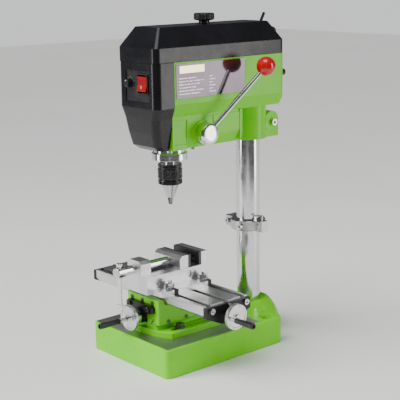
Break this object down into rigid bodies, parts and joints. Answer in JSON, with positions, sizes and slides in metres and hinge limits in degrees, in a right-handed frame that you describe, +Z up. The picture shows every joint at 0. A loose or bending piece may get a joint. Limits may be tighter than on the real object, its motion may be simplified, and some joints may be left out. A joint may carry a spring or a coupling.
{
  "type": "benchtop milling machine",
  "caption": "Bench mill: cast base and column, geared head with quill and drill chuck, feed lever, cross table with handwheels and a screw vise.",
  "frame": {"origin": "on the bench plane, under the axis of the column", "axes": "+Z up along the column, -Y towards the operator, +X to the operator's right"},
  "size_m": [0.3614, 0.3654, 0.5424],
  "materials": {
    "green_paint": "gloss enamel",
    "black_cover": "satin",
    "black_paint": "satin",
    "black_plastic": "satin",
    "red_plastic": "gloss",
    "red_ball": "gloss",
    "ground_steel": "ground",
    "bright_steel": "turned",
    "bearing_steel": "ground",
    "spring_steel": "blued",
    "black_steel": "black oxide",
    "jaw_steel": "black oxide",
    "chrome_rod": "polished",
    "grey_metal": "machined",
    "bright_screws": "zinc plated",
    "dark_screws": "black oxide",
    "bronze": "machined",
    "label_plate": "gloss",
    "dark_motor": "satin",
    "belt_rubber": "matt",
    "pulley_alloy": "turned",
    "dial_metal": "satin chrome",
    "wheel_metal": "turned",
    "table_iron": "ground",
    "vise_iron": "ground"
  },
  "bodies": {
    "base": {"base_casting": "green_paint", "column": "ground_steel", "base_bolts": "dark_screws", "table_base": "green_paint", "y_nut": "bronze"},
    "collar": {"stop_collar": "grey_metal", "collar_screws": "bright_screws"},
    "head": {"head_casting": "green_paint", "front_cover": "black_cover", "switch_bezel": "black_plastic", "head_screws": "bright_screws", "rating_label": "label_plate", "cord_gland": "black_plastic", "motor": "dark_motor", "return_spring": "spring_steel", "spring_cap": "black_paint", "drive_belt": "belt_rubber"},
    "lid": {"top_cover": "black_cover", "tension_lock_knob": "black_plastic"},
    "lid_knob": {"cover_knob": "black_plastic"},
    "tension_lever": {"tension_lever": "black_steel"},
    "rocker": {"rocker_switch": "red_plastic"},
    "speed_dial": {"speed_knob": "black_plastic"},
    "motor_rotor": {"motor_pulley": "pulley_alloy"},
    "drive_pulley": {"spindle_pulley": "pulley_alloy"},
    "quill": {"quill": "ground_steel", "quill_bearings": "bearing_steel"},
    "spindle": {"spindle": "ground_steel", "chuck_body": "bright_steel"},
    "chuck_sleeve": {"chuck_sleeve": "black_steel"},
    "jaw_1": {"chuck_jaw_1": "bright_steel"},
    "jaw_2": {"chuck_jaw_2": "bright_steel"},
    "jaw_3": {"chuck_jaw_3": "bright_steel"},
    "feed_lever": {"pinion_shaft": "ground_steel", "lever_hub": "grey_metal", "lever_rod": "chrome_rod", "lever_ball": "red_ball"},
    "saddle": {"saddle": "green_paint", "saddle_gibs": "bronze", "saddle_screws": "dark_screws", "x_nut": "bronze", "y_bracket": "black_paint"},
    "y_wheel": {"y_leadscrew": "ground_steel", "y_dial": "dial_metal", "y_handwheel": "wheel_metal"},
    "y_grip": {"y_crank_grip": "black_plastic"},
    "table": {"cross_table": "table_iron", "table_end_plates": "black_paint", "table_end_screws": "bright_screws", "vise_body": "vise_iron", "vise_fixed_plate": "jaw_steel", "vise_clamps": "bright_screws"},
    "x_wheel": {"x_leadscrew": "ground_steel", "x_dial": "dial_metal", "x_handwheel": "wheel_metal"},
    "x_grip": {"x_crank_grip": "black_plastic"},
    "moving_jaw": {"vise_moving_jaw": "vise_iron", "vise_moving_plate": "jaw_steel"},
    "vise_screw": {"vise_screw": "ground_steel"},
    "tbar": {"vise_tbar": "chrome_rod"}
  },
  "joints": [
    {"name": "head_height", "type": "slide", "parent": "base", "child": "head", "axis": [0, 0, 1], "range_m": [-0.045, 0.03]},
    {"name": "collar_height", "type": "slide", "parent": "base", "child": "collar", "axis": [0, 0, 1], "range_m": [-0.1, 0.09]},
    {"name": "lid_lift", "type": "slide", "parent": "head", "child": "lid", "axis": [0, 0, 1], "range_m": [0, 0.06]},
    {"name": "lid_knob_turn", "type": "hinge", "parent": "lid", "child": "lid_knob", "pos_m": [0, -0.0942, 0.534], "axis": [0, 0, 1], "continuous": true},
    {"name": "belt_tension", "type": "hinge", "parent": "head", "child": "tension_lever", "pos_m": [0.01, -0.0045, 0.48], "axis": [1, 0, 0], "range_deg": [-3, 4]},
    {"name": "rocker", "type": "hinge", "parent": "head", "child": "rocker", "pos_m": [0.0148, -0.2288, 0.4425], "axis": [1, 0, 0], "range_deg": [-9, 9]},
    {"name": "speed", "type": "hinge", "parent": "head", "child": "speed_dial", "pos_m": [-0.0175, -0.235, 0.442], "axis": [0, -1, 0], "range_deg": [0, 270]},
    {"name": "motor_spin", "type": "hinge", "parent": "head", "child": "motor_rotor", "pos_m": [0, -0.066, 0.489], "axis": [0, 0, 1], "continuous": true},
    {"name": "pulley_spin", "type": "hinge", "parent": "head", "child": "drive_pulley", "pos_m": [0, -0.17, 0.489], "axis": [0, 0, 1], "continuous": true},
    {"name": "spindle_spin", "type": "hinge", "parent": "quill", "child": "spindle", "pos_m": [0, -0.17, 0.4], "axis": [0, 0, 1], "continuous": true},
    {"name": "feed", "type": "hinge", "parent": "head", "child": "feed_lever", "pos_m": [0, -0.1362, 0.36], "axis": [1, 0, 0], "range_deg": [0, 160], "stiffness_Nm_per_rad": 0.25, "springref_deg": -91.67},
    {"name": "quill_feed", "type": "slide", "parent": "head", "child": "quill", "axis": [0, 0, -1], "range_m": [0, 0.02793]},
    {"name": "sleeve_turn", "type": "hinge", "parent": "spindle", "child": "chuck_sleeve", "pos_m": [0, -0.17, 0.295], "axis": [0, 0, 1], "range_deg": [0, 1080]},
    {"name": "y_feed", "type": "hinge", "parent": "saddle", "child": "y_wheel", "pos_m": [0, -0.25, 0.075], "axis": [0, -1, 0], "range_deg": [-9012, 1812]},
    {"name": "y_travel", "type": "slide", "parent": "base", "child": "saddle", "axis": [0, 1, 0], "range_m": [-0.05, 0.01]},
    {"name": "y_grip_turn", "type": "hinge", "parent": "y_wheel", "child": "y_grip", "pos_m": [-0.01069, -0.3, 0.06955], "axis": [0, -1, 0], "continuous": true},
    {"name": "x_feed", "type": "hinge", "parent": "table", "child": "x_wheel", "pos_m": [0.155, -0.1735, 0.0955], "axis": [1, 0, 0], "range_deg": [-16212, 16212]},
    {"name": "x_travel", "type": "slide", "parent": "saddle", "child": "table", "axis": [1, 0, 0], "range_m": [-0.09, 0.09]},
    {"name": "x_grip_turn", "type": "hinge", "parent": "x_wheel", "child": "x_grip", "pos_m": [0.19, -0.1855, 0.0955], "axis": [1, 0, 0], "continuous": true},
    {"name": "vise_turn", "type": "hinge", "parent": "moving_jaw", "child": "vise_screw", "pos_m": [-0.002, -0.26, 0.152], "axis": [0, -1, 0], "range_deg": [-7200, 3150]},
    {"name": "vise_jaw", "type": "slide", "parent": "table", "child": "moving_jaw", "axis": [0, 1, 0], "range_m": [-0.0401, 0.0176]},
    {"name": "tbar_slide", "type": "slide", "parent": "vise_screw", "child": "tbar", "axis": [0, 0, 1], "range_m": [0, 0.041]},
    {"name": "jaw_1_slide", "type": "slide", "parent": "spindle", "child": "jaw_1", "axis": [0, 0.1483, 0.9889], "range_m": [0, 0.01802]},
    {"name": "jaw_2_slide", "type": "slide", "parent": "spindle", "child": "jaw_2", "axis": [-0.1285, -0.0742, 0.9889], "range_m": [0, 0.01802]},
    {"name": "jaw_3_slide", "type": "slide", "parent": "spindle", "child": "jaw_3", "axis": [0.1285, -0.0742, 0.9889], "range_m": [0, 0.01802]}
  ],
  "couplings": [
    {"joint": "pulley_spin", "follows": "motor_spin", "ratio": 0.5},
    {"joint": "spindle_spin", "follows": "motor_spin", "ratio": 0.5},
    {"joint": "quill_feed", "follows": "feed", "m_per_rad": 0.01},
    {"joint": "y_feed", "follows": "y_travel", "rad_per_m": 3141.6},
    {"joint": "x_feed", "follows": "x_travel", "rad_per_m": 3141.6},
    {"joint": "vise_jaw", "follows": "vise_turn", "m_per_rad": 0.00031831},
    {"joint": "jaw_1_slide", "follows": "sleeve_turn", "m_per_rad": 0.00095493},
    {"joint": "jaw_2_slide", "follows": "sleeve_turn", "m_per_rad": 0.00095493},
    {"joint": "jaw_3_slide", "follows": "sleeve_turn", "m_per_rad": 0.00095493}
  ]
}
